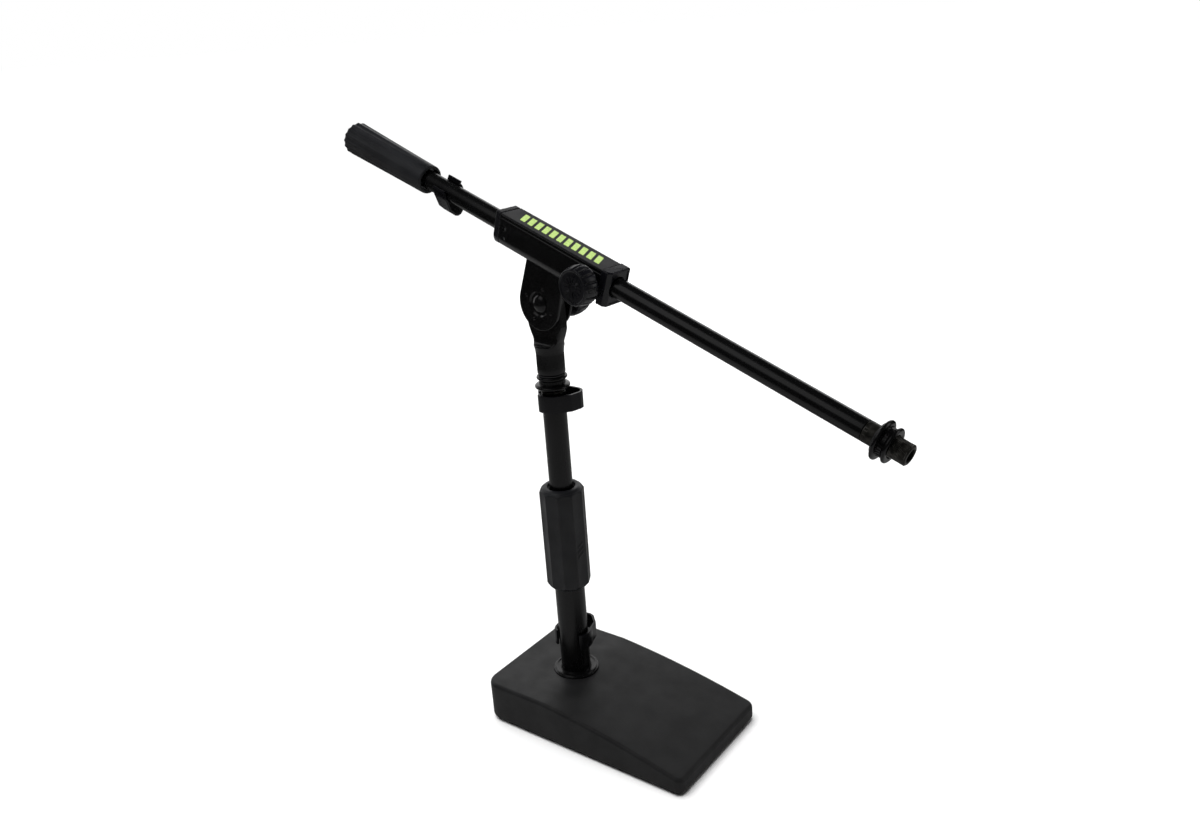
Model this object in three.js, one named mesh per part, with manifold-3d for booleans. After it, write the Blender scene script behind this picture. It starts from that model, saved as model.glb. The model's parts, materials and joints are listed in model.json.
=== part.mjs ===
// Low boom microphone stand: a weighted wedge base, a two-part column with a twist-grip clutch, a swivel
// neck, and a counterweighted boom that slides and rolls in a clamp housing on a tilting fork.
// Millimetres. +Z is up, +X runs from the column to the thin end of the base, the column axis is at 0,0.
import * as THREE from 'three';
import { mergeVertices } from 'three/addons/utils/BufferGeometryUtils.js';
import Module from 'manifold-3d';

const wasm = await Module();
wasm.setup();

// Pose of the head above the column.
const HEAD_YAW = -6.05;
const BOOM_TILT = 18.34;
const PIVOT_Z = 391.6;
const BOOM_RISE = 46.1;

// Base casting and pad.
const BASE = { back: -60, front: 154, half: 63.5, top: 39.2, flatTo: 10, pad: 2, skin: 9 };
const BASE_CORNER = { back: 13, front: 7, edge: 3 };
const SPINE_HALF = 16.5;
const RIM = 12.5;

// Tubes, as outer radius and wall.
const LOWER = { r: 13.5, wall: 1.6, z0: 20.3, z1: 196 };
const UPPER = { r: 10.3, wall: 1.4, z0: 134, z1: 314.2 };
const BOOM = { r: 7.95, wall: 1.2, x0: -232, x1: 294 };

// Threaded studs, 5/8 inch.
const STUD_R = 7.9;
const THREAD_BORE = 8.25;

// Clutch grip.
const GRIP = { r: 20, z0: 128.5, z1: 226.2, lobes: 10, dip: 0.7, inner: 18.3 };

// Clamp housing in the head frame: pivot at 0,0,0 and X along the boom.
const HOUSING = { x0: -52.4, x1: 59.7, half: 11.2, z0: 31.7, z1: 55.6 };
const COVER_TOP = 59.5;
const EAR = { r: 22.4, top: 20.6, inner: 5.6, outer: 8.2 };
const TONGUE_HALF = 4.4;
const NECK_R = 20.2;
const CLAMP = { x: 50.2, z: 44.8 };

// Counterweight in the boom frame.
const WEIGHT = { x0: -258.3, x1: -152.7, far: 14.8, near: 12.6 };

// Cable clips.
const CLIP = { width: 15, wall: 2.2 };
const CLIP_SHAPES = {
  lower_cable_clip: { ring: 15.4, arc: [118, 101, 84, 67], tip: polar(13.9, 129), reach: 28.5 },
  mid_cable_clip: { ring: 12.6, arc: [152, 135, 118, 101, 84, 67], tip: polar(10.8, 163), reach: 25 },
  boom_cable_clip: { ring: 8.25, arc: [130, 112, 94, 76], tip: [-8.4, 8.9], reach: 23 },
};

const ROUND = 36;
const SMALL = 24;
const GAP = 0.3;

const LOOKS = {
  castIron: { color: 0x2b2b2c, roughness: 0.62, metalness: 0.25 },
  rubber: { color: 0x1f2023, roughness: 0.85, metalness: 0 },
  paintedTube: { color: 0x0c0c0d, roughness: 0.22, metalness: 0.5 },
  paintedMetal: { color: 0x1a1a1b, roughness: 0.42, metalness: 0.45 },
  plastic: { color: 0x18181a, roughness: 0.5, metalness: 0 },
  nylon: { color: 0x2e2e30, roughness: 0.6, metalness: 0 },
  steel: { color: 0x9a9a9c, roughness: 0.32, metalness: 1 },
  brass: { color: 0xb08d4a, roughness: 0.35, metalness: 1 },
};

// Drops triangles that collapsed when vertices were merged and turns the rest to face outwards.
function cleanTriangles(position, index) {
  const corner = (i) => new THREE.Vector3().fromBufferAttribute(position, i);
  const kept = [];
  let volume = 0;
  for (let i = 0; i < index.count; i += 3) {
    const [a, b, c] = [index.getX(i), index.getX(i + 1), index.getX(i + 2)];
    if (a === b || b === c || c === a) continue;
    kept.push([a, b, c]);
    volume += corner(a).dot(corner(b).cross(corner(c)));
  }
  return kept.map(([a, b, c]) => (volume < 0 ? [a, c, b] : [a, b, c])).flat();
}

function toSolid(geometry) {
  const bare = new THREE.BufferGeometry();
  bare.setAttribute('position', geometry.getAttribute('position'));
  bare.setIndex(geometry.getIndex());
  const merged = mergeVertices(bare, 1e-4);
  const position = merged.getAttribute('position');
  return new wasm.Manifold(new wasm.Mesh({
    numProp: 3,
    vertProperties: new Float32Array(position.array),
    triVerts: new Uint32Array(cleanTriangles(position, merged.getIndex())),
  }));
}

function toGeometry(solid) {
  const mesh = solid.getMesh();
  const geometry = new THREE.BufferGeometry();
  geometry.setAttribute('position', new THREE.BufferAttribute(mesh.vertProperties, 3));
  geometry.setIndex(new THREE.BufferAttribute(mesh.triVerts, 1));
  geometry.computeVertexNormals();
  return geometry;
}

const union = (first, ...rest) => rest.reduce((sum, solid) => sum.add(solid), first);
const cut = (first, ...rest) => rest.reduce((sum, solid) => sum.subtract(solid), first);

// Directions: each turned or extruded shape is made along +Z and then laid along X or Y.
const alongZ = (geometry) => geometry;
const alongX = (geometry) => geometry.rotateY(Math.PI / 2);
const alongY = (geometry) => geometry.rotateX(-Math.PI / 2);

// A profile is a list of [radius, height]; it closes on itself unless it starts on the axis.
function turned(profile, segments = ROUND) {
  const points = profile.map(([radius, height]) => new THREE.Vector2(radius, height));
  if (profile[0][0] > 0) points.push(points[0].clone());
  return new THREE.LatheGeometry(points, segments).rotateX(Math.PI / 2);
}

function rimProfile(radius, from, to, bevel) {
  if (bevel === 0) return [[radius, from], [radius, to]];
  return [[radius - bevel, from], [radius, from + bevel], [radius, to - bevel], [radius - bevel, to]];
}

function rod(radius, from, to, bevel = 0, segments = ROUND) {
  return turned([[0, from], ...rimProfile(radius, from, to, bevel), [0, to]], segments);
}

function ring(outer, inner, from, to, bevel = 0, segments = ROUND) {
  return turned([[inner, from], ...rimProfile(outer, from, to, bevel), [inner, to]], segments);
}

// A straight cutter, longer than the wall it goes through.
const drill = (radius, from, to, segments = ROUND) => rod(radius, from, to, 0, segments);

function polygon(points) {
  return new THREE.Shape(points.map(([x, y]) => new THREE.Vector2(x, y)));
}

// Rounded rectangle with its own radius on the low-X and high-X corners.
function roundedBox(x0, x1, y0, y1, low, high = low) {
  const shape = new THREE.Shape();
  shape.absarc(x0 + low, y0 + low, low, Math.PI, 1.5 * Math.PI);
  shape.absarc(x1 - high, y0 + high, high, 1.5 * Math.PI, 2 * Math.PI);
  shape.absarc(x1 - high, y1 - high, high, 0, 0.5 * Math.PI);
  shape.absarc(x0 + low, y1 - low, low, 0.5 * Math.PI, Math.PI);
  return shape;
}

function extruded(shape, from, to, bevel = 0, curveSegments = 4) {
  const bevels = { bevelSize: bevel, bevelOffset: -bevel, bevelThickness: bevel, bevelSegments: 1 };
  const options = { depth: to - from - 2 * bevel, curveSegments, bevelEnabled: bevel > 0, ...bevels };
  return new THREE.ExtrudeGeometry(shape, options).translate(0, 0, from + bevel);
}

function block(x0, x1, y0, y1, z0, z1) {
  const box = new THREE.BoxGeometry(x1 - x0, y1 - y0, z1 - z0);
  return box.translate((x0 + x1) / 2, (y0 + y1) / 2, (z0 + z1) / 2);
}

// Closed outline of a strip of even thickness that follows an open line of points.
function stripOutline(line, thickness) {
  const side = line.map(([x, y], i) => {
    const [ax, ay] = line[Math.max(i - 1, 0)];
    const [bx, by] = line[Math.min(i + 1, line.length - 1)];
    const length = Math.hypot(bx - ax, by - ay);
    return [x - ((by - ay) / length) * thickness, y + ((bx - ax) / length) * thickness];
  });
  return [...line, ...side.reverse()];
}

// Round outline with shallow flutes, for hand grips.
function flutedOutline(radius, count, dip, steps) {
  const points = [];
  for (let i = 0; i < count * steps; i += 1) {
    const angle = (i / (count * steps)) * 2 * Math.PI;
    const wave = 0.5 - 0.5 * Math.cos(count * angle);
    const r = radius - dip * wave;
    points.push([r * Math.cos(angle), r * Math.sin(angle)]);
  }
  return points;
}

function piece(group, name, solid, look) {
  const mesh = new THREE.Mesh(toGeometry(solid), new THREE.MeshStandardMaterial(LOOKS[look]));
  mesh.name = name;
  group.add(mesh);
}

// Height of the casting's top above the floor, level round the column and then falling in a long curve.
function topHeight(x) {
  const run = Math.max(0, x - BASE.flatTo);
  return BASE.top - 0.078 * run - 0.00058 * run * run;
}

// Side view of the casting, lowered by drop, between two X positions.
function wedgeProfile(x0, x1, drop, edge) {
  const points = [[x0, -5], [x1, -5]];
  const crown = [];
  for (let i = 0; i <= 14; i += 1) {
    const x = x0 + edge + ((x1 - x0 - 2 * edge) * i) / 14;
    crown.push([x, topHeight(x) - drop]);
  }
  const ends = [[x0, topHeight(x0) - drop - edge], [x1, topHeight(x1) - drop - edge]];
  const soft = [
    [x0 + 0.3 * edge, topHeight(x0) - drop - 0.3 * edge],
    [x1 - 0.3 * edge, topHeight(x1) - drop - 0.3 * edge],
  ];
  return edge > 0
    ? [...points, ends[1], soft[1], ...crown.reverse(), soft[0], ends[0]]
    : [...points, ...crown.reverse()];
}

// The profile is drawn in X,Z and swept across Y.
function sweptAcross(profile, y0, y1, bevel = 0) {
  return extruded(polygon(profile), -y1, -y0, bevel).rotateX(Math.PI / 2);
}

function baseCasting() {
  const { back, front, half, pad, skin } = BASE;
  const plan = roundedBox(back, front, -half, half, BASE_CORNER.back, BASE_CORNER.front);
  const column = extruded(plan, pad + GAP, 60);
  const wedge = sweptAcross(wedgeProfile(back, front, 0, BASE_CORNER.edge), -half, half, 2.4);
  const outer = toSolid(column).intersect(toSolid(wedge));
  const pocketSide = wedgeProfile(back + RIM, front - RIM - 8, skin, 0);
  const pockets = [[SPINE_HALF, half - RIM], [RIM - half, -SPINE_HALF]];
  return cut(
    outer,
    ...pockets.map(([y0, y1]) => toSolid(sweptAcross(pocketSide, y0, y1))),
    toSolid(drill(LOWER.r + GAP, 20, 60)),
    toSolid(drill(5.4, 10, 30, SMALL)),
    toSolid(drill(12, 0, 12, SMALL)),
  );
}

function basePad() {
  const { back, front, half, pad } = BASE;
  const shape = roundedBox(back + 3, front - 3, 3 - half, half - 3, BASE_CORNER.back - 3, 4);
  const hole = (y0, y1) => roundedBox(back + RIM, front - RIM - 8, y0, y1, 5);
  shape.holes.push(hole(SPINE_HALF, half - RIM), hole(RIM - half, -SPINE_HALF));
  return toSolid(extruded(shape, 0, pad));
}

function hexagon(radius) {
  const angles = [0, 1, 2, 3, 4, 5].map((i) => (i * Math.PI) / 3);
  return polygon(angles.map((a) => [radius * Math.cos(a), radius * Math.sin(a)]));
}

function addBase(group) {
  piece(group, 'base_casting', baseCasting(), 'castIron');
  piece(group, 'base_pad', basePad(), 'rubber');
  const bolt = turned([[0, 2.6], [7.6, 2.6], [8, 3], [8, 10], [5, 10], [5, 50], [0, 50]], SMALL);
  const socket = extruded(hexagon(4.6), 0, 7);
  piece(group, 'base_bolt', cut(toSolid(bolt), toSolid(socket)), 'steel');
  piece(group, 'base_washer', toSolid(ring(11, 5.4, 10.3, 11.7, 0, SMALL)), 'steel');
  piece(group, 'tube_foot_plug', toSolid(ring(11.6, 5.4, 20.3, 55)), 'steel');
  const collar = [[13.8, 39.5], [20.8, 39.5], [20.8, 40.3], [20, 41], [18.6, 41.1], [18.2, 42], [13.8, 42]];
  piece(group, 'base_collar', toSolid(turned(collar)), 'paintedMetal');
  const inner = LOWER.r - LOWER.wall;
  piece(group, 'lower_tube', toSolid(ring(LOWER.r, inner, LOWER.z0, LOWER.z1)), 'paintedTube');
}

function clutchGrip() {
  const outline = polygon(flutedOutline(GRIP.r, GRIP.lobes, GRIP.dip, 6));
  const outer = toSolid(extruded(outline, GRIP.z0, GRIP.z1, 1.6));
  const bore = turned([
    [0, 120], [14.6, 120], [14.6, 130.4], [GRIP.inner, 131.6],
    [GRIP.inner, 224.1], [12.5, 224.1], [12.5, 230], [0, 230],
  ]);
  return outer.subtract(toSolid(bore));
}

function addClutch(group) {
  const collar = [
    [13.8, 150], [15.4, 150], [15.9, 150.5], [15.9, 211.6], [15.5, 212], [14.6, 212],
    [12.2, 204], [12.2, 196.4], [13.8, 196.4],
  ];
  piece(group, 'clutch_collar', toSolid(turned(collar)), 'nylon');
  const collet = [[10.6, 204.5], [11.9, 204.5], [14.2, 212.4], [14.2, 215.7], [10.6, 215.7]];
  const slit = toSolid(block(8, 16, -1, 1, 203, 217));
  piece(group, 'clutch_collet', toSolid(turned(collet)).subtract(slit), 'nylon');
  const shell = [
    [13.9, 131.9], [17.6, 131.9], [18, 132.3], [18, 223.4], [17.6, 223.8], [11.2, 223.8],
    [11.2, 216], [16.2, 216], [16.2, 135.5], [13.9, 134],
  ];
  piece(group, 'clutch_shell', toSolid(turned(shell)), 'nylon');
  piece(group, 'clutch_grip', clutchGrip(), 'rubber');
}

function addMast(group) {
  const inner = UPPER.r - UPPER.wall;
  piece(group, 'mast_guide', toSolid(ring(11.6, 10.6, 137, 152)), 'nylon');
  piece(group, 'upper_tube', toSolid(ring(UPPER.r, inner, UPPER.z0, UPPER.z1)), 'paintedTube');
  const endPlug = [
    [4, 128], [11.4, 128], [11.4, 133.7], [8.6, 133.7], [8.6, 150], [4, 150],
  ];
  piece(group, 'mast_end_plug', toSolid(turned(endPlug)), 'nylon');
  const stud = [
    [0, 288], [8.6, 288], [8.6, 314.5], [10.3, 314.5], [10.3, 315.8], [STUD_R, 315.8],
    [STUD_R, 341], [STUD_R - 1, 342], [0, 342],
  ];
  piece(group, 'mast_top_stud', toSolid(turned(stud)), 'steel');
}

// Lock nut: two rounded flanges with a waist between them, the larger flange first.
function lockNut(from, large, small) {
  return [
    [THREAD_BORE, from], [large - 1.4, from], [large, from + 1], [large, from + 2.4],
    [large - 1.4, from + 3.4], [11.9, from + 4], [11.9, from + 7.4], [small - 1.2, from + 7.9],
    [small, from + 8.8], [small, from + 10.1], [small - 1.2, from + 11], [THREAD_BORE, from + 11],
  ];
}

function addColumnNut(group) {
  piece(group, 'column_lock_nut', toSolid(turned(lockNut(318, 15, 13.1))), 'paintedMetal');
  piece(group, 'column_nut_washer', toSolid(ring(11.5, 8.4, 329.3, 330.3)), 'nylon');
}

// Neck: round at the foot, flaring into a flat tongue that carries the pivot.
function neckSolid() {
  const z = (height) => height - PIVOT_Z;
  const flare = turned([
    [0, z(330.6)], [11.1, z(330.6)], [11.9, z(331.4)], [11.9, z(350)], [12.6, z(354)], [14.4, z(359)],
    [17.4, z(364)], [20.8, z(371)], [20.8, z(416)], [0, z(416)],
  ]);
  const side = [
    [-13, z(329)], [13, z(329)], [13.2, z(352)], [17.6, z(364)], [19.6, z(371)], [20.2, z(386)],
  ];
  const crown = [];
  for (let i = 0; i <= 12; i += 1) {
    const angle = (i / 12) * Math.PI;
    crown.push([NECK_R * Math.cos(angle), NECK_R * Math.sin(angle)]);
  }
  const mirrored = side.slice(2).reverse().map(([x, height]) => [-x, height]);
  const plate = sweptAcross([...side, ...crown, ...mirrored], -14, 14);
  return toSolid(flare).intersect(toSolid(plate));
}

function neckScoop(sign) {
  const start = 362.8 - PIVOT_Z;
  const roll = alongX(drill(7.6, -30, 30, ROUND)).translate(0, sign * (TONGUE_HALF + 7.6), start);
  const clear = block(-30, 30, TONGUE_HALF, 30, start, 40);
  if (sign < 0) clear.rotateZ(Math.PI);
  const outside = block(-30, 30, TONGUE_HALF + 7.6, 30, start - 7.6, 40);
  if (sign < 0) outside.rotateZ(Math.PI);
  return union(toSolid(roll), toSolid(clear), toSolid(outside));
}

function addNeck(group) {
  const socket = toSolid(drill(THREAD_BORE, -70, 344 - PIVOT_Z));
  const pivotHole = toSolid(alongY(drill(4.3, -20, 20, SMALL)));
  const neck = cut(neckSolid(), neckScoop(1), neckScoop(-1), socket, pivotHole);
  piece(group, 'swivel_neck', neck, 'paintedMetal');
}

function earOutline() {
  const { r, top } = EAR;
  const points = [[top, 37], [-top, 37]];
  for (let i = 0; i <= 20; i += 1) {
    const angle = Math.PI + (i / 20) * Math.PI;
    points.push([r * Math.cos(angle), r * Math.sin(angle)]);
  }
  return points;
}

function housingSection(half, z0, z1, chamfer) {
  const rise = 1.7 * chamfer;
  return [
    [-half, z0 + rise], [chamfer - half, z0], [half - chamfer, z0], [half, z0 + rise],
    [half, z1 - 0.7], [half - 0.7, z1], [0.7 - half, z1], [-half, z1 - 0.7],
  ];
}

// Section drawn in Y,Z and swept along X.
function sweptAlong(points, x0, x1, bevel = 0) {
  const shape = polygon(points.map(([y, z]) => [-z, y]));
  return alongX(extruded(shape, x0, x1, bevel));
}

// Four small raised studs round the pivot on the near ear.
function earStuds() {
  return [-8, 82, 172, 262].map((degrees) => {
    const angle = THREE.MathUtils.degToRad(degrees);
    const stud = alongY(rod(1.5, -8.8, -7.6, 0.3, 12));
    return toSolid(stud.translate(14.4 * Math.cos(angle), 0, 14.4 * Math.sin(angle)));
  });
}

function clampHousing() {
  const { x0, x1, half, z0, z1 } = HOUSING;
  const body = sweptAlong(housingSection(half, z0, z1, 3), x0, x1);
  const rail = block(x0, x1, 0.9 - half, half - 0.9, z1 - 3, z1 + 1.6);
  const thick = EAR.outer - EAR.inner;
  const ears = [EAR.inner, -EAR.outer].map((y) => sweptAcross(earOutline(), y, y + thick, 0.5));
  const boss = alongY(rod(8.6, -15.1, -8, 0.5, SMALL)).translate(CLAMP.x, 0, CLAMP.z);
  const solid = union(toSolid(body), toSolid(rail), ...ears.map(toSolid), toSolid(boss));
  const atClamp = (geometry) => toSolid(alongY(geometry).translate(CLAMP.x, 0, CLAMP.z));
  const pin = (height) => toSolid(alongY(drill(1.8, -14, -9, 12)).translate(-46.6, 0, BOOM_RISE + height));
  const drilled = cut(
    solid,
    toSolid(alongX(drill(9.9, -60, 41)).translate(0, 0, BOOM_RISE)),
    toSolid(alongX(drill(8.6, 30, 70)).translate(0, 0, BOOM_RISE)),
    atClamp(drill(5.9, -13, -6, SMALL)),
    atClamp(drill(6.8, -20, -12.6, SMALL)),
    pin(1.2),
    pin(-7),
    toSolid(alongY(drill(4.3, -20, 20, SMALL))),
    toSolid(alongY(drill(10.9, -12, -6.9))),
  );
  return union(drilled, ...earStuds());
}

function capSolid(x0, x1, grow, chamfer) {
  const half = HOUSING.half + grow;
  const section = housingSection(half, HOUSING.z0 - grow, COVER_TOP + grow, chamfer);
  const bore = alongX(drill(8.5, x0 - 5, x1 + 5)).translate(0, 0, BOOM_RISE);
  return toSolid(sweptAlong(section, x0, x1, 0.6)).subtract(toSolid(bore));
}

// The front cap's upright edges are cut off on the near side and only broken on the far side.
function frontCap() {
  const { x1, half, z0 } = HOUSING;
  const from = x1 + GAP;
  const to = x1 + 9.6;
  const grow = 0.7;
  const side = half + grow;
  const plan = polygon([
    [from - 1, -side - 1], [to - 3, -side - 1], [to - 3, -side], [to, -side + 3],
    [to, side - 0.8], [to - 0.8, side], [to - 0.8, side + 1], [from - 1, side + 1],
  ]);
  const trimmer = extruded(plan, z0 - 5, COVER_TOP + 5);
  return capSolid(from, to, grow, 1.4).intersect(toSolid(trimmer));
}

function addHousing(group) {
  const { x0, x1, half, z1 } = HOUSING;
  piece(group, 'clamp_housing', clampHousing(), 'paintedMetal');
  const cover = roundedBox(x0, x1, -half, half, 1);
  piece(group, 'housing_cover', toSolid(extruded(cover, z1 + 1.9, COVER_TOP, 0.4, 2)), 'paintedMetal');
  piece(group, 'rear_cap', capSolid(x0 - 6, x0 - GAP, 0.1, 3), 'plastic');
  piece(group, 'front_cap', frontCap(), 'plastic');
  for (const [name, height] of [['cap_pin_upper', 1.2], ['cap_pin_lower', -7]]) {
    const pin = alongY(rod(1.5, -11.1, -10.3, 0.2, 12)).translate(-46.6, 0, BOOM_RISE + height);
    piece(group, name, toSolid(pin), 'steel');
  }
  const nut = alongY(ring(6.5, 4.3, -14.8, -12.9, 0, SMALL)).translate(CLAMP.x, 0, CLAMP.z);
  piece(group, 'clamp_nut', toSolid(nut), 'brass');
}

function addPivot(group) {
  const bolt = turned([
    [0, -10.4], [3.2, -10.1], [5.9, -9], [7.5, -7.6], [7.5, -7.2], [4, -7.2], [4, 30], [0, 30],
  ], SMALL);
  piece(group, 'pivot_bolt', toSolid(alongY(bolt)), 'paintedMetal');
  piece(group, 'friction_washer_near', toSolid(alongY(ring(17, 4.4, -5.3, -4.7))), 'nylon');
  piece(group, 'friction_washer_far', toSolid(alongY(ring(17, 4.4, 4.7, 5.3))), 'nylon');
  piece(group, 'pivot_spring_washer', toSolid(alongY(ring(7.5, 4.4, 8.5, 10, 0, SMALL))), 'steel');
  piece(group, 'pivot_thrust_washer', toSolid(alongY(ring(9, 4.4, 10.3, 11.6, 0, SMALL))), 'steel');
}

// Hand knob: fluted head, a hub towards the stand and a blind bore; made along +Z with its face at the end.
function knobSolid({ radius, flutes, back, face, hub, hubFrom, bore, boreTo }) {
  const head = extruded(polygon(flutedOutline(radius, flutes, 0.8, 4)), back, face, 1.2);
  const solid = union(toSolid(head), toSolid(rod(hub, hubFrom, back + 2, 0.4, SMALL)));
  return cut(solid, toSolid(drill(bore, hubFrom - 2, boreTo, SMALL)));
}

function addPivotKnob(group) {
  const knob = knobSolid({
    radius: 18.4, flutes: 18, back: 23, face: 38, hub: 11, hubFrom: 11.9, bore: 7.3, boreTo: 33,
  });
  const nut = alongY(ring(7, 4.3, 14, 29.5, 0, SMALL));
  const holder = new THREE.Group();
  holder.rotation.x = -Math.PI / 2;
  piece(holder, 'pivot_knob', knob, 'plastic');
  group.add(holder);
  piece(group, 'pivot_knob_nut', toSolid(nut), 'brass');
}

function addClampKnob(group) {
  const holder = new THREE.Group();
  holder.position.set(CLAMP.x, 0, CLAMP.z);
  holder.rotation.x = Math.PI / 2;
  const knob = knobSolid({
    radius: 16, flutes: 16, back: 16.6, face: 31, hub: 9, hubFrom: 15.6, bore: 4.3, boreTo: 24.3,
  });
  piece(holder, 'clamp_knob', knob, 'plastic');
  piece(holder, 'clamp_screw', toSolid(rod(4, 10.7, 24, 0.5, SMALL)), 'steel');
  piece(holder, 'clamp_shoe', toSolid(rod(5.6, 8.3, 10.4, 0, SMALL)), 'nylon');
  group.add(holder);
}

function weightProfile() {
  const { x0, x1, far, near } = WEIGHT;
  const radius = (x) => far + ((near - far) * (x - x0)) / (x1 - x0);
  const outer = [
    [far - 2.4, x0], [far - 0.6, x0 + 1.6], [radius(x0 + 4), x0 + 4], [radius(x1 - 1.5), x1 - 1.5],
  ];
  const mouth = [[near - 1, x1], [10.2, x1], [10.2, x1 - 5]];
  const inner = [[radius(x1 - 5) - 1.4, x1 - 5], [radius(x0 + 4) - 2.2, x0 + 4], [0, x0 + 4]];
  return [[0, x0], ...outer, ...mouth, ...inner];
}

function addBoom(group) {
  const inner = BOOM.r - BOOM.wall;
  piece(group, 'boom_tube', toSolid(ring(BOOM.r, inner, BOOM.x0, BOOM.x1)), 'paintedTube');
  const stud = [
    [4.8, 268], [6.45, 268], [6.45, 294.3], [BOOM.r, 294.3], [BOOM.r, 303.2],
    [7.2, 303.2], [7.2, 304.6], [STUD_R, 305.2], [STUD_R, 327.4], [STUD_R - 1, 328.4], [4.8, 328.4],
  ];
  piece(group, 'boom_end_stud', toSolid(turned(stud)), 'steel');
  const core = [
    [8.25, -253.4], [12.2, -253.4], [10.8, -158.2], [8.25, -158.2],
  ];
  piece(group, 'counterweight_core', toSolid(turned(core)), 'steel');
  piece(group, 'counterweight_slug', toSolid(rod(6.45, -231.5, -140)), 'steel');
  piece(group, 'counterweight_sleeve', toSolid(turned(weightProfile())), 'rubber');
  piece(group, 'boom_liner', toSolid(ring(9.6, 8.25, -52, 40.6)), 'nylon');
  piece(group, 'boom_nut_washer', toSolid(ring(11.5, 8.4, 303.9, 304.9)), 'nylon');
  piece(group, 'boom_lock_nut', toSolid(turned(lockNut(305.2, 14.8, 13.1))), 'paintedMetal');
}

function polar(radius, degrees) {
  const angle = (degrees * Math.PI) / 180;
  return [radius * Math.cos(angle), radius * Math.sin(angle)];
}

// Half of the clip's inner line, from the tip of one arm to the middle of the cable loop on +X.
function clipLine({ ring, arc, tip, reach }) {
  const end = reach - CLIP.wall;
  const round = arc.map((degrees) => polar(ring, degrees));
  return [tip, ...round, [0.62 * end, 0.8 * ring], [end - 1.4, 0.34 * ring], [end, 0.12 * ring]];
}

function clipSolid(shape) {
  const upper = clipLine(shape);
  const lower = upper.map(([x, y]) => [x, -y]).reverse();
  const outline = polygon(stripOutline([...upper, ...lower], CLIP.wall));
  return toSolid(extruded(outline, -CLIP.width / 2, CLIP.width / 2, 0.4));
}

function addColumnClips(group) {
  for (const [name, height, azimuth] of [['lower_cable_clip', 73.5, 97], ['mid_cable_clip', 306, 37.4]]) {
    const holder = new THREE.Group();
    holder.position.z = height;
    holder.rotation.z = THREE.MathUtils.degToRad(azimuth);
    piece(holder, name, clipSolid(CLIP_SHAPES[name]), 'plastic');
    group.add(holder);
  }
}

// The clip is made with its loop on +X and the tube along Z, so it is laid along the boom loop downwards.
function addBoomClip(group) {
  const holder = new THREE.Group();
  holder.position.set(-128.4, 0, 0);
  holder.rotation.x = THREE.MathUtils.degToRad(23);
  const laid = new THREE.Group();
  laid.rotation.y = Math.PI / 2;
  piece(laid, 'boom_cable_clip', clipSolid(CLIP_SHAPES.boom_cable_clip), 'plastic');
  holder.add(laid);
  group.add(holder);
}

const stand = new THREE.Group();
addBase(stand);
addClutch(stand);
addMast(stand);
addColumnNut(stand);
addColumnClips(stand);

const neck = new THREE.Group();
neck.position.z = PIVOT_Z;
neck.rotation.z = THREE.MathUtils.degToRad(HEAD_YAW);
addNeck(neck);
stand.add(neck);

const head = new THREE.Group();
head.position.z = PIVOT_Z;
head.rotation.set(0, THREE.MathUtils.degToRad(BOOM_TILT), THREE.MathUtils.degToRad(HEAD_YAW), 'ZYX');
addHousing(head);
addPivot(head);
addPivotKnob(head);
addClampKnob(head);
stand.add(head);

const boomAxis = new THREE.Group();
boomAxis.position.z = BOOM_RISE;
const boom = new THREE.Group();
boom.rotation.y = Math.PI / 2;
addBoom(boom);
boomAxis.add(boom);
addBoomClip(boomAxis);
head.add(boomAxis);

export default stand;
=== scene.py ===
"""Looks of a low boom microphone stand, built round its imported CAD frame.

Each piece is drawn in millimetres in the frame of its own part, such as the column, the head or the boom. It is
scaled to metres and then set in place with a turn and a move, so that textures run along the part and move with
it.
"""

import json
import math

import bmesh
import bpy
from mathutils import Matrix, Vector


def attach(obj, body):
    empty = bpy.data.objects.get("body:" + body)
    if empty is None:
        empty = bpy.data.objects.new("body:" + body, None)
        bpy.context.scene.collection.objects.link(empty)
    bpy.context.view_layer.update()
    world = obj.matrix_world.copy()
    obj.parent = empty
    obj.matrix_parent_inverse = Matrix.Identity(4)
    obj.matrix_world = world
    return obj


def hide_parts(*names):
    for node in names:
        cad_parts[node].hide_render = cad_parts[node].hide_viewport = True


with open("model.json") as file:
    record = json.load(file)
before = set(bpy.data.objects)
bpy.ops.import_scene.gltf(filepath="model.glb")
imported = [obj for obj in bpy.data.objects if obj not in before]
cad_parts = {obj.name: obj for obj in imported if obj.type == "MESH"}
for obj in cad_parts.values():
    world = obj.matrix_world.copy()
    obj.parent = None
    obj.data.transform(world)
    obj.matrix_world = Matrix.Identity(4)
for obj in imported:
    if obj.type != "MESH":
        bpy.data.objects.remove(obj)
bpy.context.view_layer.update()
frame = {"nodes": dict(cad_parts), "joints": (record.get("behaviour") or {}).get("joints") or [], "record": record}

MM = 0.001
SEGMENTS = 96
JOINTS = {joint["name"]: joint for joint in frame["joints"]}
BODY_OF = {node: body for body, nodes in frame["record"]["behaviour"]["bodies"].items() for node in nodes}

# Frames of the parts, read from the joints.
UP = Vector((0, 0, 1))
ALONG = Vector(JOINTS["boom_reach"]["axis"]).normalized()
ACROSS = Vector(JOINTS["boom_tilt"]["axis"]).normalized()
PIVOT = Vector(JOINTS["boom_tilt"]["pos_m"])


def set_axes(origin, x, z):
    """Rigid matrix with its origin there, Z along z and X as near to x as it can be."""
    z = z.normalized()
    y = z.cross(x).normalized()
    return Matrix.Translation(origin) @ Matrix((y.cross(z), y, z)).transposed().to_4x4()


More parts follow.
